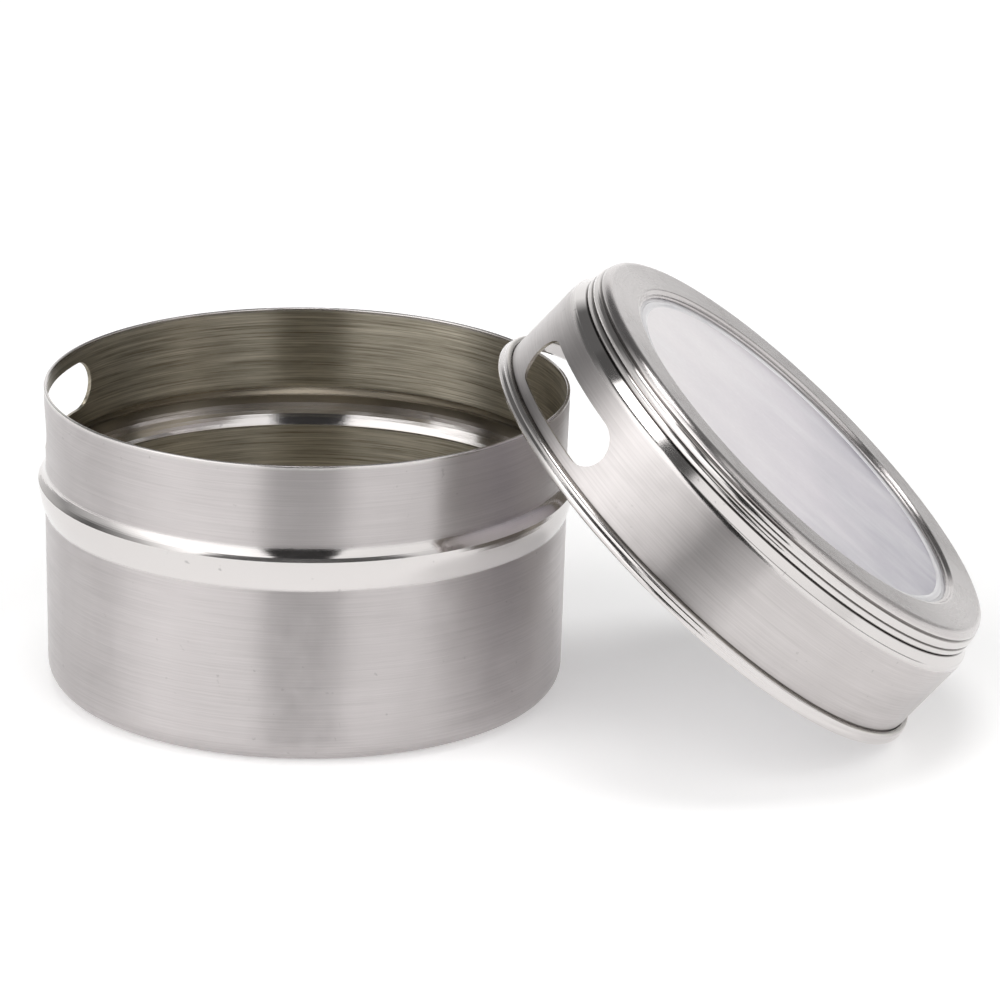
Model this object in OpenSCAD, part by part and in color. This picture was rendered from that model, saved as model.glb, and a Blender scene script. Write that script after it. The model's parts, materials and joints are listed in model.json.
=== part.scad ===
// Round stainless steel spice tin with a press-on window lid.
// The can stands open and the lid leans on its right rim.
// Frame: +Z up, origin at the centre of the can's base, the lid leans to +X.

/* [Can] */
// Outside diameter at the rim
can_d = 65; // [55:0.5:90]
// Height of the open can
can_h = 38.2; // [36:0.1:60]
// Thickness of the steel sheet
sheet = 0.4; // [0.3:0.05:0.6]
// Radius of the drawn corner between the base and the wall
base_round = 2.9; // [1.5:0.1:5]
// How much the wall draws in from the bead to the base, on the radius
wall_taper = 0.3; // [0:0.05:0.8]
// How much the neck flares from the bead to the rim, on the radius
neck_flare = 0.25; // [0.1:0.05:0.4]

/* [Bead around the can] */
// Height of the bead's sharp crest, where the lid comes to rest
bead_z = 26.3; // [20:0.1:28]
// How far the bead stands out of the wall
bead_out = 0.85; // [0.75:0.05:1.2]
// Height of the hollow fillet above the crest
bead_rise = 1.95; // [1.9:0.05:2.2]
// Height of the rounded face below the crest
bead_fall = 3.9; // [3:0.1:5]

/* [Pouring slots] */
// Length of both slots
slot_len = 21.8; // [12:0.2:26]
// Height of both slots
slot_h = 6.1; // [4:0.1:7]
// Height of the can's slot centre above the base
can_slot_z = 33.1; // [32:0.1:34]
// Direction of the can's slot, counted from +X towards +Y
can_slot_angle = 170; // [0:1:359]
// Height of the lid's slot centre above the lid's open edge
lid_slot_z = 6.25; // [6:0.05:8]
// Direction of the lid's slot in the lid's own frame
lid_slot_angle = 211; // [0:1:359]

/* [Lid] */
// Height of the lid from its open edge to its flat top
lid_h = 17.35; // [16.5:0.05:20]
// Play between the can's rim and the lid's skirt, on the radius
lid_fit = 0.08; // [0.05:0.01:0.2]
// Outside diameter of the rolled open edge
curl_d = 68; // [67.6:0.1:68.4]
// Height of the rolled open edge
curl_h = 1.8; // [1.6:0.05:2]
// Outside diameter of the top ring where it meets the skirt
band_d = 63.9; // [63.6:0.1:64.2]
// Diameter of the round window opening
window_d = 51.2; // [44:0.2:52]
// How far the ring's inner lip dips below the flat top
lip_dip = 0.45; // [0.4:0.05:0.6]
// Thickness of the clear window
window_t = 1.2; // [0.8:0.1:1.3]
// Width of the bead of sealant on the window
seal_w = 1; // [0.6:0.1:2]

/* [Magnet under the base] */
// Diameter of the magnet
magnet_d = 28; // [20:1:36]
// Thickness of the magnet
magnet_t = 2; // [1:0.1:3]

/* [Leaning lid] */
// Tilt of the lid away from level
lean = 41.6; // [38:0.1:46]
// Turn of the leaning lid about the vertical
lean_turn = -2.6; // [-6:0.1:6]
// Place of the lid's open edge centre along X
lean_x = 48.7; // [48.5:0.1:60]
// Place of the lid's open edge centre along Y
lean_y = -11.3; // [-14:0.1:-8]

/* [Hidden] */
$fn = 96;
steps = 8;

rim_r = can_d / 2;
neck_r = rim_r - neck_flare;
crest_r = neck_r + bead_out + 0.1;
crease_round = 2.4;
crease_turn = 46;
crease_z = bead_z + bead_rise;
wall_r = crest_r - bead_out;
foot_r = wall_r - wall_taper;

glue_t = 0.2;
recess_h = magnet_t + glue_t;
recess_r = magnet_d / 2 + 0.4;
recess_slope = 1.2;

skirt_r = rim_r + lid_fit + sheet;
ring_r = band_d / 2;
ring_round = 1;
edge_in = 0.37;
groove_in = 0.49;
groove_drop = 1.2;
crimp_drop = 3.28;
ring_core_r = ring_r - edge_in - ring_round;
ring_gap = 0.08;
neck_out_r = ring_r - sheet - ring_gap;
shoulder_round = 1.6;
shoulder_z = lid_h - 5.25;
shoulder_top_r = skirt_r - 0.28;
roll_r = 0.62;
lip_r = 0.5;
flange_r = 27.5;
opening_r = window_d / 2;
pane_top_z = lid_h - lip_dip - sheet - 0.05;
pane_r = ring_core_r - 0.4;
flange_z = pane_top_z - window_t - 0.05;
seal_t = 0.04;
seal_groove = 0.35;

curl_ring_r = curl_d / 2 - roll_r;
lean_z = curl_ring_r * sin(lean) - roll_r * cos(lean) + roll_r;

// Points on an arc about [cx, cy], both ends included
function arc(cx, cy, r, a0, a1, n = steps) =
    [for (i = [0:n]) let (a = a0 + (a1 - a0) * i / n) [cx + r * cos(a), cy + r * sin(a)]];

function reversed(list) = [for (i = [len(list) - 1:-1:0]) list[i]];

// Outline of the can from the middle of the base to below the rim, moved inwards by t
function can_path(t) =
    let (arc_r = (pow(bead_fall, 2) + pow(bead_out, 2)) / (2 * bead_out) - t,
         arc_x = crest_r - t - arc_r,
         sweep = asin(bead_fall / (arc_r + t)))
    concat(
        [[0, recess_h + t], [recess_r + t, recess_h + t], [recess_r + recess_slope + t, t]],
        arc(foot_r - base_round, base_round, base_round - t, -90, 0),
        arc(arc_x, bead_z, arc_r, -sweep, 0),
        arc(neck_r + crease_round, crease_z, crease_round + t, 180 + crease_turn - 15 * t, 180),
        [[neck_r + 0.3 * neck_flare - t, crease_z + 3.5], [rim_r - t, can_h - sheet / 2]]);

// Round-ended punch that reaches outwards along +X through a wall of radius r
module slot_punch(r) {
    end = (slot_len - slot_h) / 2;
    translate([r - 6, 0, 0]) {
        for (side = [-1, 1])
            translate([0, side * end, 0])
                rotate([0, 90, 0])
                    cylinder(d = slot_h, h = 12);
        translate([0, -end, -slot_h / 2])
            cube([12, 2 * end, slot_h]);
    }
}

// Puts a lid piece, drawn upright on its open edge, into the leaning pose
module leaning() {
    translate([lean_x, lean_y, lean_z])
        rotate([0, 0, lean_turn])
            rotate([0, lean, 0])
                children();
}

module can_body() {
    color([0.68, 0.66, 0.65])
        difference() {
            rotate_extrude()
                polygon(concat(
                    can_path(0),
                    arc(rim_r - sheet / 2, can_h - sheet / 2, sheet / 2, 0, 180, 6),
                    reversed(can_path(sheet))));
            translate([0, 0, can_slot_z])
                rotate([0, 0, can_slot_angle])
                    slot_punch(rim_r);
        }
}

module base_magnet() {
    color([0.2, 0.2, 0.21])
        cylinder(d = magnet_d, h = magnet_t);
}

module magnet_adhesive() {
    color([0.85, 0.82, 0.7])
        translate([0, 0, magnet_t])
            cylinder(d = magnet_d - 1, h = glue_t);
}

// Outline of the skirt from its inner flange down to the rolled edge, moved inwards by t
function skirt_path(t) = concat(
    [[flange_r, flange_z - t], [neck_out_r - 0.2 - 0.5 * t, flange_z - t]],
    [[neck_out_r - t, flange_z - 0.2 - 0.5 * t], [neck_out_r - t, lid_h - crimp_drop - 0.02 - 0.7 * t]],
    [[ring_r - 0.85 * t, lid_h - crimp_drop - 0.14 - 0.5 * t]],
    [[shoulder_top_r - 0.85 * t, lid_h - 4.5 - 0.5 * t]],
    arc(skirt_r - shoulder_round, shoulder_z, shoulder_round - t, 25, 0));

module lid_skirt() {
    roll_x = curl_ring_r;
    lip_z = curl_h - lip_r;
    color([0.7, 0.69, 0.67])
        leaning()
            difference() {
                rotate_extrude()
                    polygon(concat(
                        skirt_path(0),
                        [[skirt_r, curl_h - 0.35]],
                        arc(roll_x - 0.05, lip_z, lip_r, 120, -20),
                        arc(roll_x, roll_r, roll_r, 20, -90),
                        [[skirt_r - sheet + 0.25, 0], [skirt_r - sheet, 0.3]],
                        reversed(skirt_path(sheet))));
                translate([0, 0, lid_slot_z])
                    rotate([0, 0, lid_slot_angle])
                        slot_punch(skirt_r);
            }
}

// Top of the ring from its dipped inner lip up to the flat, moved down by t
function ring_lip(t) = [
    for (p = [[0.2, 1], [0.38, 0.92], [0.52, 0.65], [0.62, 0.3], [0.72, 0.08], [0.9, 0]])
        [opening_r + p[0], lid_h - p[1] * lip_dip - t]];

// A rounded ridge that stands out to radius r at height z
function ridge(r, z, half_h, out) =
    let (ridge_r = (pow(half_h, 2) + pow(out, 2)) / (2 * out),
         sweep = asin(half_h / ridge_r))
    arc(r - ridge_r, z, ridge_r, sweep, -sweep, 6);

// The ring's side: round edge, fine groove, two crimped ridges
function ring_side() = concat(
    arc(ring_core_r, lid_h - ring_round, ring_round, 90, 0),
    [[ring_r - groove_in, lid_h - groove_drop], [ring_r - groove_in, lid_h - groove_drop - 0.1]],
    ridge(ring_r - 0.02, lid_h - 1.93, 0.55, 0.2),
    ridge(ring_r + 0.07, lid_h - crimp_drop + 0.38, 0.38, 0.14));

module lid_top_ring() {
    inner_r = ring_r - sheet;
    groove_r = inner_r - groove_in;
    color([0.66, 0.64, 0.63])
        leaning()
            rotate_extrude()
                polygon(concat(
                    arc(opening_r + sheet / 2, lid_h - lip_dip - sheet / 2, sheet / 2, 270, 90, 6),
                    ring_lip(0),
                    ring_side(),
                    [[inner_r + 0.1, lid_h - crimp_drop], [inner_r, lid_h - crimp_drop + 0.1]],
                    [[inner_r, lid_h - 1.65], [groove_r, lid_h - groove_drop - 0.1]],
                    reversed(arc(ring_core_r, lid_h - ring_round, ring_round - sheet, 90, 0)),
                    reversed(ring_lip(sheet))));
}

module window_pane() {
    color([0.85, 0.87, 0.9, 0.6])
        leaning()
            translate([0, 0, pane_top_z - window_t])
                cylinder(r = pane_r, h = window_t);
}

module window_sealant() {
    bead_out_r = opening_r - seal_groove;
    bead_in_r = bead_out_r - seal_w;
    color([0.93, 0.93, 0.93, 0.8])
        leaning()
            rotate_extrude()
                polygon([
                    [bead_in_r, pane_top_z],
                    [opening_r + 1.2, pane_top_z],
                    [opening_r + 1.2, pane_top_z + seal_t],
                    [bead_out_r, pane_top_z + seal_t],
                    [bead_out_r - 0.1 * seal_w, pane_top_z + 3 * seal_t],
                    [bead_out_r - 0.35 * seal_w, pane_top_z + 4 * seal_t],
                    [bead_out_r - 0.65 * seal_w, pane_top_z + 4 * seal_t],
                    [bead_in_r + 0.08 * seal_w, pane_top_z + 2 * seal_t]]);
}

can_body();
base_magnet();
magnet_adhesive();
lid_skirt();
lid_top_ring();
window_pane();
window_sealant();
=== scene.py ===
import json
import math

import bpy
from mathutils import Matrix, Vector

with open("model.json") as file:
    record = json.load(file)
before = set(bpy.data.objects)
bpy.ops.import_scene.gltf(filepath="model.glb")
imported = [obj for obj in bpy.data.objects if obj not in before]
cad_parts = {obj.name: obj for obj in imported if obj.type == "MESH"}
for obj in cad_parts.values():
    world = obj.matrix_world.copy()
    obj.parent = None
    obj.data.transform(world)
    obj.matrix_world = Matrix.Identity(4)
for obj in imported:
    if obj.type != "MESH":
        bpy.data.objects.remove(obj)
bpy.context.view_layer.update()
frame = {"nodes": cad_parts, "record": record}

NODES = frame["nodes"]
MM = 0.001
UP = Vector((0, 0, 1))
CAN_ORIGIN = Vector((0, 0, 0))

# The lid's own axis and the centre of its open edge, from the record's twist joint
TWIST = next(j for j in frame["record"]["behaviour"]["joints"] if j["name"] == "lid_twist")
LID_AXIS = Vector(TWIST["axis"]).normalized()
LID_ORIGIN = Vector(TWIST["pos_m"])

# Steel: how often the grain changes along its own length, how many lines cross a metre,
# how deep they are, and how far a highlight is stretched across them
GRAIN_TURN = 2.2
WALL_GRAIN = 4800.0
RING_GRAIN = 4400.0
GRAIN_BUMP = 0.2
GRAIN_DEPTH = 0.03 * MM
WALL_ANISO = 0.95
RING_ANISO = 0.8

# Bands rubbed smooth, in mm above the can's base or above the lid's open edge: (low, high, roughness)
CAN_BEAD = (22.5, 27.7, 0.11)
CAN_RIM = (37.85, 38.5, 0.2)
LID_CURL = (-0.4, 1.75, 0.14)
LID_SHOULDER = (12.3, 14.3, 0.12)
RING_SIDE = (14.0, 16.45, 0.13)
POLISH_SOFT = 0.25 * MM
POLISH_ANISO = 0.35
POLISH_TONE = (0.68, 0.655, 0.645)

# Narrow bands of painted shade, dark lines where shade falls in the joints, creases and grooves, in mm
# above the lid's open edge: (low, high)
CURL_JOINT = (1.78, 1.95)
RING_JOINT = (13.86, 13.98)
RING_CREASE = (14.80, 14.90)
RING_GROOVE = (16.02, 16.16)
PAINTED_SHADE_SOFT = 0.06 * MM
PAINTED_SHADE_TONE = (0.10, 0.09, 0.085)

# The window: how much light the haze lets straight through, and its half width
WINDOW_CLEAR = 0.12
WINDOW_HALF = 25 * MM


# ---------------------------------------------------------------- node helpers

class Nodes:
    """A small builder for a node tree."""

    def __init__(self, tree):
        self.tree = tree

    def add(self, kind, **settings):
        n = self.tree.nodes.new(kind)
        for key, value in settings.items():
            setattr(n, key, value)
        return n

    def link(self, a, b):
        self.tree.links.new(a, b)

    def value(self, socket, v):
        """Links a socket, or sets it when v is a plain value."""
        if hasattr(v, "links"):
            self.link(v, socket)
        else:
            socket.default_value = v

    def math(self, op, a, b=None):
        n = self.add("ShaderNodeMath", operation=op)
        for sock, v in zip(n.inputs, (a, b)):
            if v is not None:
                self.value(sock, v)
        return n.outputs[0]

    def vector(self, op, a, b=None):
        n = self.add("ShaderNodeVectorMath", operation=op)
        for sock, v in zip(n.inputs, (a, b)):
            if v is not None:
                self.value(sock, v)
        return n.outputs["Value"] if op == "DOT_PRODUCT" else n.outputs[0]

    def combine(self, x, y, z):
        n = self.add("ShaderNodeCombineXYZ")
        for sock, v in zip(n.inputs, (x, y, z)):
            self.value(sock, v)
        return n.outputs[0]

    def noise(self, vector, scale, detail, rough, distortion=0.0):
        n = self.add("ShaderNodeTexNoise")
        self.link(vector, n.inputs["Vector"])
        n.inputs["Scale"].default_value = scale
        n.inputs["Detail"].default_value = detail
        n.inputs["Roughness"].default_value = rough
        n.inputs["Distortion"].default_value = distortion
        return n.outputs["Fac"]

    def ramp(self, fac, stops):
        n = self.add("ShaderNodeValToRGB")
        elements = n.color_ramp.elements
        while len(elements) < len(stops):
            elements.new(0.5)
        for e, (pos, col) in zip(elements, stops):
            e.position = pos
            e.color = (*col, 1.0)
        self.link(fac, n.inputs[0])
        return n.outputs[0]

    def range(self, fac, from_low, from_high, to_low, to_high):
        n = self.add("ShaderNodeMapRange")
        self.link(fac, n.inputs[0])
        for sock, v in zip(n.inputs[1:5], (from_low, from_high, to_low, to_high)):
            sock.default_value = v
        return n.outputs[0]

    def blend(self, fac, a, b):
        """a where fac is 0 and b where it is 1, for single values."""
        return self.math("ADD", self.math("MULTIPLY", a, self.math("SUBTRACT", 1.0, fac)),
                         self.math("MULTIPLY", fac, b))

    def weighted(self, a, share_a, b, share_b):
        return self.math("ADD", self.math("MULTIPLY", a, share_a), self.math("MULTIPLY", b, share_b))

    def mix(self, fac, a, b):
        """a where fac is 0 and b where it is 1, for colours."""
        n = self.add("ShaderNodeMix", data_type="RGBA", blend_type="MIX")
        self.value(n.inputs[0], fac)
        for sock, v in ((n.inputs[6], a), (n.inputs[7], b)):
            self.value(sock, (*v, 1.0) if isinstance(v, tuple) else v)
        return n.outputs[2]

    def band(self, value, low, high, soft):
        """1 where the value lies between low and high, with soft ends."""
        up = self.range(value, low - soft, low + soft, 0.0, 1.0)
        down = self.range(value, high - soft, high + soft, 1.0, 0.0)
        return self.math("MULTIPLY", up, down)


class Material(Nodes):
    """A new material with one surface shader."""

    def __init__(self, name):
        self.mat = bpy.data.materials.new(name)
        self.mat.use_nodes = True
        super().__init__(self.mat.node_tree)
        self.tree.nodes.clear()
        self.out = self.add("ShaderNodeOutputMaterial")

    def bump(self, height, strength, distance):
        n = self.add("ShaderNodeBump")
        n.inputs["Strength"].default_value = strength
        n.inputs["Distance"].default_value = distance
        self.link(height, n.inputs["Height"])
        return n.outputs[0]

    def surface(self, tone, rough, normal, **more):
        """Finishes the material; more gives further sockets, with spaces written as underscores."""
        s = self.add("ShaderNodeBsdfPrincipled")
        self.link(tone, s.inputs["Base Color"])
        self.value(s.inputs["Roughness"], rough)
        if normal is not None:
            self.link(normal, s.inputs["Normal"])
        for key, v in more.items():
            self.value(s.inputs[key.replace("_", " ")], v)
        self.link(s.outputs[0], self.out.inputs[0])
        return self.mat


def axis_frame(m, origin, axis):
    """Position in a round piece's own frame, as x, y and height."""
    x = Vector((1, 0, 0)) - axis * axis.x
    x.normalize()
    rel = m.vector("SUBTRACT", m.add("ShaderNodeTexCoord").outputs["Object"], origin)
    return [m.vector("DOT_PRODUCT", rel, v) for v in (x, axis.cross(x), axis)]


# ---------------------------------------------------------------- materials

def across_grain(m, origin, axis):
    """The direction in the surface that crosses a grain running round the axis.

    It is worked out in the piece's own frame, so that the look turns with the piece, and is then
    given in the world's frame. The place and the normal come back in the piece's own frame.
    """
    coord = m.add("ShaderNodeTexCoord")
    normal = coord.outputs["Normal"]
    rel = m.vector("SUBTRACT", coord.outputs["Object"], origin)
    cross = m.vector("CROSS_PRODUCT", normal, m.vector("CROSS_PRODUCT", axis, rel))
    to_world = m.add("ShaderNodeVectorTransform", vector_type="VECTOR",
                     convert_from="OBJECT", convert_to="WORLD")
    m.link(cross, to_world.inputs[0])
    return m.vector("NORMALIZE", to_world.outputs[0]), rel, normal


def inner_face(m, rel, normal, axis):
    """1 on faces that look towards the axis or along it, as on a vessel's inside."""
    along = m.add("ShaderNodeVectorMath", operation="SCALE")
    along.inputs[0].default_value = axis
    m.link(m.vector("DOT_PRODUCT", rel, axis), along.inputs["Scale"])
    outwards = m.vector("SUBTRACT", rel, along.outputs[0])
    looks_in = m.math("LESS_THAN", m.vector("DOT_PRODUCT", normal, outwards), 0.0)
    looks_up = m.math("GREATER_THAN", m.vector("DOT_PRODUCT", normal, axis), 0.75)
    return m.math("MAXIMUM", looks_in, looks_up)


def steel(name, origin, axis, base, dark, rough, aniso, lines_per_m, inside=None, polished=(), painted_shade_bands=()):
    """Brushed stainless steel whose grain runs round an axis.

    inside is the dark and light tone of painted shade and a warm painted reflection on inner faces.
    polished lists bands of height rubbed smooth, and the last list gives bands of height with painted
    shade.
    """
    m = Material(name)
    parts = axis_frame(m, origin, axis)
    height = parts[2]
    radius = m.math("SQRT", m.math("ADD", *[m.math("MULTIPLY", p, p) for p in parts[:2]]))
    crossing, rel, normal = across_grain(m, origin, axis)
    around = [m.math("MULTIPLY", m.math("DIVIDE", p, radius), GRAIN_TURN) for p in parts[:2]]
    across = m.math("ADD", height, radius)
    lines = m.combine(*around, m.math("MULTIPLY", across, lines_per_m))
    grain = m.noise(lines, 1.0, 5.0, 0.65)
    fine = m.noise(lines, 3.3, 3.0, 0.7)
    place = m.combine(*parts)
    cloud = m.noise(place, 55.0, 3.0, 0.55)
    smudge = m.noise(place, 210.0, 4.0, 0.6, 0.4)
    speck = m.noise(place, 900.0, 2.0, 0.5)

    tone = m.ramp(m.weighted(grain, 0.6, cloud, 0.4), [(0.3, dark), (0.66, base)])
    # Painted shade and painted reflection: inner faces get a darker, warmer copy of the steel, standing
    # in for the shade and warm reflections inside the vessel.
    if inside:
        wide_lines = m.combine(*around, m.math("MULTIPLY", across, lines_per_m / 6))
        broad = m.noise(wide_lines, 1.0, 4.0, 0.7)
        inside_shade_tone = m.ramp(m.weighted(grain, 0.65, broad, 0.35), [(0.36, inside[0]), (0.64, inside[1])])
        tone = m.mix(inner_face(m, rel, normal, axis), tone, inside_shade_tone)
    r = m.math("ADD", m.range(fine, 0.25, 0.75, rough - 0.04, rough + 0.04),
               m.range(smudge, 0.35, 0.7, -0.02, 0.04))
    stretch = aniso
    for low, high, smooth in polished:
        here = m.band(height, low * MM, high * MM, POLISH_SOFT)
        tone = m.mix(here, tone, POLISH_TONE)
        r = m.blend(here, r, m.range(smudge, 0.3, 0.7, smooth - 0.02, smooth + 0.03))
        stretch = m.math("MULTIPLY", m.range(here, 0.0, 1.0, 1.0, POLISH_ANISO / aniso), stretch)
    # Painted shade: dark lines in the joints, creases and grooves, where shade falls between the parts.
    for low, high in painted_shade_bands:
        tone = m.mix(m.band(height, low * MM, high * MM, PAINTED_SHADE_SOFT), tone, PAINTED_SHADE_TONE)
    tone = m.mix(m.range(speck, 0.72, 0.80, 0.0, 0.5), tone, tuple(c / 2 for c in base))
    bump = m.bump(m.math("ADD", grain, m.math("MULTIPLY", fine, 0.4)), GRAIN_BUMP, GRAIN_DEPTH)
    return m.surface(tone, r, bump, Metallic=1.0, Anisotropic=stretch, Tangent=crossing)


def window_material():
    """Hazy clear plastic, with painted light and shade: warm white at the lid's high side and a darker,
    bluer painted shade at its low side.
    """
    m = Material("window_clear_tt")
    x, y, height = axis_frame(m, LID_ORIGIN, LID_AXIS)
    place = m.combine(x, y, height)
    haze = m.noise(place, 60.0, 3.0, 0.5)
    streak = m.noise(m.combine(m.math("MULTIPLY", x, 0.25), y, height), 170.0, 3.0, 0.6)
    dust = m.noise(place, 1400.0, 2.0, 0.5)
    wave = m.noise(place, 90.0, 2.0, 0.4)
    # Painted light and shade: the colour runs from warm white at the high side to darker blue at the low
    # side.
    painted_light_slope = m.math("ADD", m.range(x, -WINDOW_HALF, WINDOW_HALF, 0.0, 0.8),
                   m.range(haze, 0.3, 0.7, 0.0, 0.2))
    tint = m.ramp(painted_light_slope, [(0.1, (0.97, 0.93, 0.945)), (0.5, (0.78, 0.735, 0.79)),
                          (0.95, (0.36, 0.355, 0.43))])
    tint = m.mix(m.range(streak, 0.45, 0.75, 0.0, 0.4), tint, (0.98, 0.97, 0.98))
    return m.surface(tint, m.range(dust, 0.3, 0.8, 0.12, 0.26), m.bump(wave, 0.15, 0.2 * MM),
                     IOR=1.49, Transmission_Weight=WINDOW_CLEAR)


def sealant_material():
    """A pale, slightly clear bead with soft ripples."""
    m = Material("sealant_clear_tt")
    ripple = m.noise(m.combine(*axis_frame(m, LID_ORIGIN, LID_AXIS)), 260.0, 1.0, 0.4)
    tint = m.ramp(ripple, [(0.35, (0.80, 0.79, 0.82)), (0.65, (0.90, 0.89, 0.91))])
    return m.surface(tint, m.range(ripple, 0.3, 0.7, 0.06, 0.14), m.bump(ripple, 0.2, 0.3 * MM),
                     IOR=1.41, Transmission_Weight=0.2)


def blotchy(name, dark, light, rough, scale, bump, coat=0.0):
    """A non-metal with blotches, fine grain and a soft bump."""
    m = Material(name)
    place = m.add("ShaderNodeTexCoord").outputs["Object"]
    big = m.noise(place, scale, 4.0, 0.6)
    small = m.noise(place, scale * 9, 3.0, 0.6)
    tone = m.ramp(m.weighted(big, 0.6, small, 0.4), [(0.35, dark), (0.65, light)])
    return m.surface(tone, m.range(small, 0.3, 0.7, *rough), m.bump(small, bump, 0.1 * MM),
                     Coat_Weight=coat)


def dress(node, mat):
    """Gives a CAD node its material, in every slot it has."""
    slots = NODES[node].data.materials
    if len(slots) == 0:
        slots.append(mat)
    for i in range(len(slots)):
        slots[i] = mat


dress("can_body", steel(
    "can_steel_tt", CAN_ORIGIN, UP, (0.60, 0.568, 0.567), (0.47, 0.445, 0.443),
    0.36, WALL_ANISO, WALL_GRAIN, inside=((0.22, 0.195, 0.145), (0.66, 0.61, 0.505)),
    polished=[CAN_BEAD, CAN_RIM]))
dress("lid_skirt", steel(
    "lid_steel_tt", LID_ORIGIN, LID_AXIS, (0.64, 0.61, 0.605), (0.50, 0.475, 0.47),
    0.34, WALL_ANISO, WALL_GRAIN, inside=((0.40, 0.37, 0.32), (0.60, 0.57, 0.50)),
    polished=[LID_CURL, LID_SHOULDER], painted_shade_bands=[CURL_JOINT, RING_JOINT]))
dress("lid_top_ring", steel(
    "ring_steel_tt", LID_ORIGIN, LID_AXIS, (0.62, 0.592, 0.588), (0.52, 0.495, 0.49),
    0.25, RING_ANISO, RING_GRAIN, polished=[RING_SIDE], painted_shade_bands=[RING_GROOVE, RING_CREASE]))
dress("window_pane", window_material())
dress("window_sealant", sealant_material())
dress("base_magnet", blotchy(
    "magnet_tt", (0.06, 0.06, 0.065), (0.12, 0.12, 0.125), (0.45, 0.65), 300.0, 0.4))
dress("magnet_adhesive", blotchy(
    "adhesive_tt", (0.62, 0.56, 0.4), (0.78, 0.73, 0.58), (0.15, 0.35), 250.0, 0.3, 0.3))


# ---------------------------------------------------------------- stage

FLOOR_HALF = 2.0
FLOOR_TONE = (0.9, 0.9, 0.9)
FLOOR_GLOW = 0.31
CARD_TONE = (0.012, 0.011, 0.011)
CARD_HEIGHT = 2.2
CARD_FAR = -1.08
CARD_HALF = 0.33
CARD_NEAR = -0.15
CARD_NEAR_LEFT, CARD_NEAR_RIGHT = -0.038, 0.062
CARD_FAR_RIGHT = 0.36
CARD_LIFT = 0.6 * MM


def card_material(name, tone, glow=0.0):
    """Matt card with faint clouds; glow makes it shine a little by itself."""
    m = Material(name)
    clouds = m.noise(m.add("ShaderNodeTexCoord").outputs["Object"], 3.0, 2.0, 0.5)
    col = m.ramp(clouds, [(0.3, tuple(c * 0.92 for c in tone)), (0.7, tone)])
    return m.surface(col, 0.85, None, Emission_Color=(1.0, 1.0, 1.0, 1.0), Emission_Strength=glow)


def stage_card(name, corners, mat):
    """A flat card between four corners."""
    mesh = bpy.data.meshes.new(name)
    mesh.from_pydata(corners, [], [(0, 1, 2, 3)])
    mesh.materials.append(mat)
    ob = bpy.data.objects.new(name, mesh)
    bpy.context.scene.collection.objects.link(ob)
    return ob


stage_card("floor", [(-FLOOR_HALF, -FLOOR_HALF, 0), (FLOOR_HALF, -FLOOR_HALF, 0),
                     (FLOOR_HALF, FLOOR_HALF, 0), (-FLOOR_HALF, FLOOR_HALF, 0)],
           card_material("floor_pale", FLOOR_TONE, FLOOR_GLOW))

# The dark gap in front through which the tin is looked at, and the dark floor in it. Only the
# steel's reflections see them.
black = card_material("card_black", CARD_TONE)
front_card = stage_card("front_card", [
    (-CARD_HALF, CARD_FAR, 0), (-CARD_HALF, CARD_FAR, CARD_HEIGHT),
    (CARD_HALF, CARD_FAR, CARD_HEIGHT), (CARD_HALF, CARD_FAR, 0)], black)
floor_card = stage_card("floor_card", [
    (CARD_NEAR_LEFT, CARD_NEAR, CARD_LIFT), (-CARD_HALF, CARD_FAR, CARD_LIFT),
    (CARD_FAR_RIGHT, CARD_FAR, CARD_LIFT), (CARD_NEAR_RIGHT, CARD_NEAR, CARD_LIFT)], black)
for card in (front_card, floor_card):
    card.visible_camera = False
    card.visible_diffuse = False
    card.visible_transmission = False
    card.visible_shadow = False


# ---------------------------------------------------------------- light

# A white tent: strength by the direction from the front, in degrees to the left and right
AROUND = [(-180, 1.15), (-165, 0.95), (-125, 0.38), (-95, 0.70), (-66, 1.90), (-34, 1.60),
          (30, 1.12), (60, 1.10), (90, 0.72), (118, 0.48), (150, 0.36), (164, 1.1), (180, 1.15)]
# The tent's darker upper back, its dark top and the soft lamp in it. Where each starts is the
# height of the direction, from 0 at the horizon to 1 overhead.
BACK_DARK = 0.14
BACK_START, BACK_FULL = 0.34, 0.52
TOP_DARK = 0.10
TOP_START = 0.85
LAMP_LIGHT = 5.5
LAMP_START = 0.963
EDGE = 0.02

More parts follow.
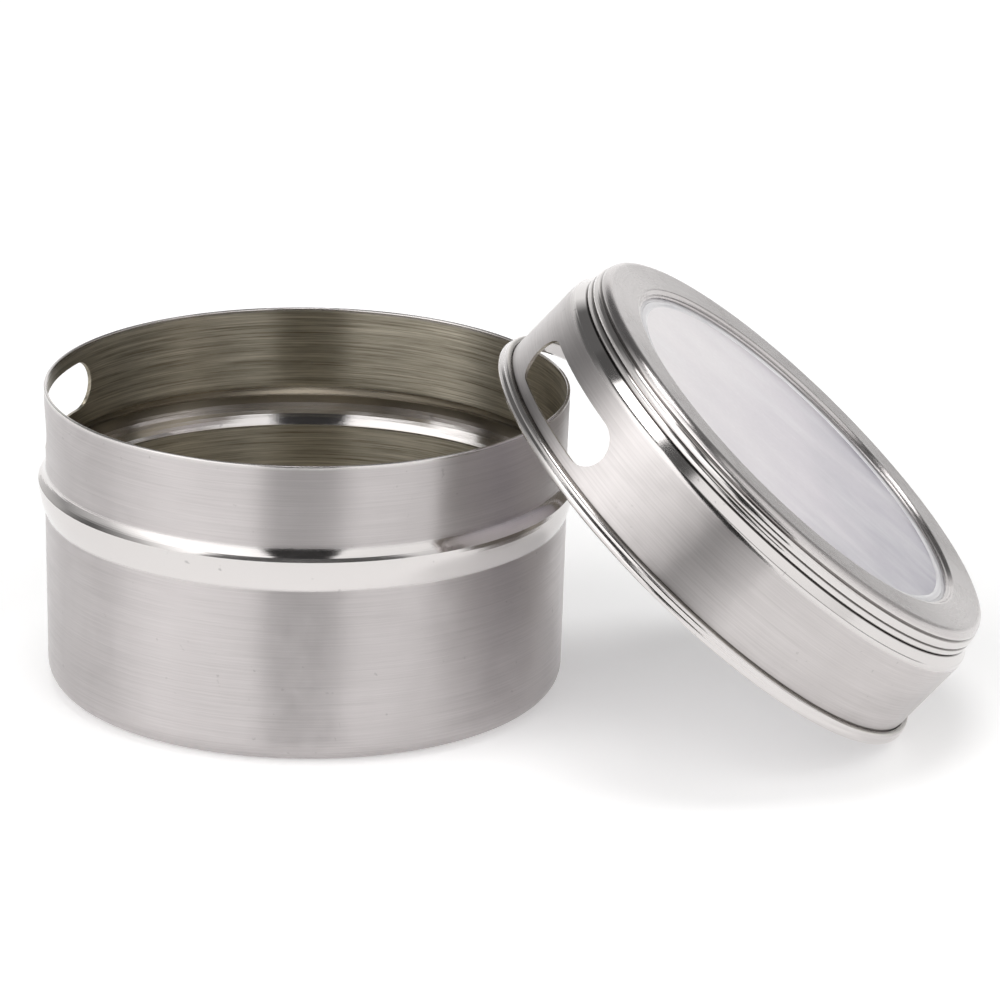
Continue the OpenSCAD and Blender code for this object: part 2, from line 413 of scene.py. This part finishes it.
world = bpy.data.worlds.new("studio")
world.use_nodes = True
bpy.context.scene.world = world
sky = Nodes(world.node_tree)
direction = sky.add("ShaderNodeSeparateXYZ")
sky.link(sky.add("ShaderNodeTexCoord").outputs["Generated"], direction.inputs[0])
dir_x, dir_y, dir_z = direction.outputs
turn = sky.math("ARCTAN2", dir_x, sky.math("MULTIPLY", dir_y, -1.0))
around = sky.ramp(sky.range(turn, -math.pi, math.pi, 0.0, 1.0),
                  [((degrees + 180) / 360, (v / 2, v / 2, v / 2)) for degrees, v in AROUND])
behind = sky.math("MULTIPLY", sky.range(dir_y, 0.0, 0.35, 0.0, 1.0),
                  sky.range(dir_z, BACK_START, BACK_FULL, 0.0, 1.0))
strength = sky.blend(behind, sky.math("MULTIPLY", around, 2.0), BACK_DARK)
for start, level in ((TOP_START, TOP_DARK), (LAMP_START, LAMP_LIGHT)):
    strength = sky.blend(sky.range(dir_z, start, start + EDGE, 0.0, 1.0), strength, level)
background = world.node_tree.nodes["Background"]
background.inputs["Color"].default_value = (1.0, 0.995, 0.99, 1.0)
sky.link(strength, background.inputs["Strength"])


# ---------------------------------------------------------------- camera

CAMERA_X = 24.06 * MM
CAMERA_DISTANCE = 0.8
CAMERA_HEIGHT = 292.63 * MM
CAMERA_PITCH = 18.59
CAMERA_ROLL = 1.08
CAMERA_LENS = 244.7
SENSOR_WIDTH = 36.0
CLIP_START = 0.05

cam = bpy.data.cameras.new("camera")
cam.lens = CAMERA_LENS
cam.sensor_width = SENSOR_WIDTH
cam.clip_start = CLIP_START
cam_ob = bpy.data.objects.new("camera", cam)
bpy.context.scene.collection.objects.link(cam_ob)
tilt = Matrix.Rotation(math.radians(90 - CAMERA_PITCH), 4, "X")
roll = Matrix.Rotation(math.radians(CAMERA_ROLL), 4, "Z")
cam_ob.matrix_world = Matrix.Translation((CAMERA_X, -CAMERA_DISTANCE, CAMERA_HEIGHT)) @ tilt @ roll
bpy.context.scene.camera = cam_ob
bpy.context.scene.view_settings.view_transform = "Standard"
